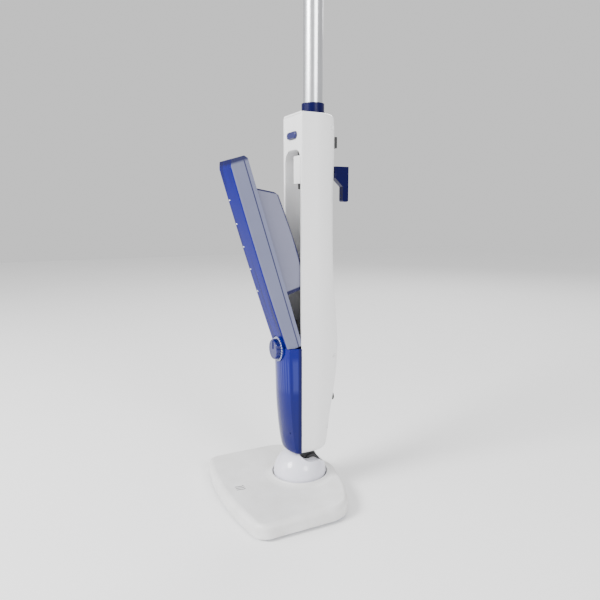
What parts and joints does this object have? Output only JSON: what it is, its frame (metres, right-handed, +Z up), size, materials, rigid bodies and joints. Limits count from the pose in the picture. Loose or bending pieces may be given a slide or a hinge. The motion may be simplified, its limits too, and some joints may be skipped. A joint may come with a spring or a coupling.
{
  "type": "steam mop",
  "caption": "Upright steam mop with a flat swivelling head, tip-out water tank, steam dial, cord hooks and a tube handle.",
  "frame": {"origin": "on the floor under the swivel, at the underside of the pad", "axes": "+Z up, -Y to the front where the tank tips out, +X to the mop's left side as seen from behind"},
  "size_m": [0.212, 0.186, 1.186],
  "materials": {
    "microfibre": "looped microfibre pile",
    "hook_tape": "woven hook tape",
    "white_abs": "semi-gloss moulded",
    "dome_white": "gloss moulded",
    "grey_plastic": "fine texture",
    "black_plastic": "moulded",
    "blue_clear": "tinted translucent",
    "lilac_clear": "tinted translucent",
    "cover_blue": "tinted gloss",
    "navy": "moulded gloss",
    "steel": "plated",
    "tube_alu": "anodised",
    "cast_alu": "die cast",
    "silicone": "silicone",
    "black_rubber": "moulded",
    "soft_grip": "soft touch",
    "print_white": "pad print",
    "print_grey": "printed scale",
    "board_green": "solder mask"
  },
  "bodies": {
    "head": {"mop_pad": "microfibre", "pad_grip_strips": "hook_tape", "head_base_plate": "white_abs", "steam_channel": "grey_plastic", "head_shell": "white_abs", "head_screws": "steel"},
    "dome": {"swivel_dome": "dome_white", "roll_pins": "steel", "lean_pin": "steel", "lean_washers": "steel"},
    "main_body": {"neck_knuckle": "black_plastic", "rear_housing": "white_abs", "front_frame": "white_abs", "lower_cover": "cover_blue", "cover_screws": "steel", "panel_screws": "steel", "hinge_bracket": "grey_plastic", "hinge_pin": "steel", "valve_dock": "grey_plastic", "dock_seal": "silicone", "latch_housing": "white_abs", "latch_spring": "steel", "boiler": "cast_alu", "heating_element": "steel", "thermostat": "black_plastic", "pump": "black_plastic", "pump_mounts": "black_rubber", "inlet_hose": "silicone", "feed_hose": "silicone", "steam_pipe": "silicone", "control_board": "board_green", "steam_regulator": "grey_plastic", "dial_ring": "print_grey", "switch_bezel": "black_plastic", "hook_clip": "steel", "cord_gland": "black_rubber", "top_collar": "navy", "lower_tube": "tube_alu", "tube_coupler": "navy", "upper_tube": "tube_alu", "upper_hook": "navy", "grip_front": "white_abs", "grip_rear": "white_abs", "grip_insert": "soft_grip", "end_cap": "navy", "handle_screws": "steel"},
    "tank": {"tank_front": "blue_clear", "level_marks": "print_white", "tank_box": "lilac_clear", "tank_catch": "grey_plastic", "tank_valve": "black_plastic", "tank_valve_ring": "silicone"},
    "cap": {"filler_cap": "navy"},
    "button": {"release_button": "navy"},
    "pawl": {"latch_pawl": "black_plastic"},
    "dial": {"steam_dial": "navy"},
    "rocker": {"power_rocker": "black_plastic"},
    "hook": {"cord_hook": "navy"}
  },
  "joints": [
    {"name": "head_roll", "type": "hinge", "parent": "head", "child": "dome", "pos_m": [0, -0.012, 0.024], "axis": [0, 1, 0], "range_deg": [-22, 22]},
    {"name": "neck_lean", "type": "hinge", "parent": "dome", "child": "main_body", "pos_m": [0, 0, 0.04], "axis": [-1, 0, 0], "range_deg": [0, 60]},
    {"name": "tank_tilt", "type": "hinge", "parent": "main_body", "child": "tank", "pos_m": [0, -0.033, 0.222], "axis": [1, 0, 0], "range_deg": [-17, 0]},
    {"name": "cap_twist", "type": "hinge", "parent": "tank", "child": "cap", "pos_m": [0, -0.03946, 0.37688], "axis": [0, 0.9312, 0.3646], "range_deg": [0, 90]},
    {"name": "button_press", "type": "slide", "parent": "main_body", "child": "button", "axis": [0, 1, 0], "range_m": [-0.0035, 0]},
    {"name": "pawl_lift", "type": "slide", "parent": "main_body", "child": "pawl", "axis": [0, 0, 1], "range_m": [-0.0035, 0], "stiffness_N_per_m": 400, "springref_m": -0.0045, "deforming": ["latch_spring"]},
    {"name": "dial_turn", "type": "hinge", "parent": "main_body", "child": "dial", "pos_m": [0, -0.045, 0.206], "axis": [0, -1, 0], "range_deg": [0, 270]},
    {"name": "rocker_tilt", "type": "hinge", "parent": "main_body", "child": "rocker", "pos_m": [0, 0.0345, 0.4775], "axis": [1, 0, 0], "range_deg": [0, 10]},
    {"name": "hook_turn", "type": "hinge", "parent": "main_body", "child": "hook", "pos_m": [0, 0.04, 0.44], "axis": [0, 1, 0], "range_deg": [0, 180]}
  ],
  "couplings": [
    {"joint": "pawl_lift", "follows": "button_press", "ratio": 1}
  ]
}
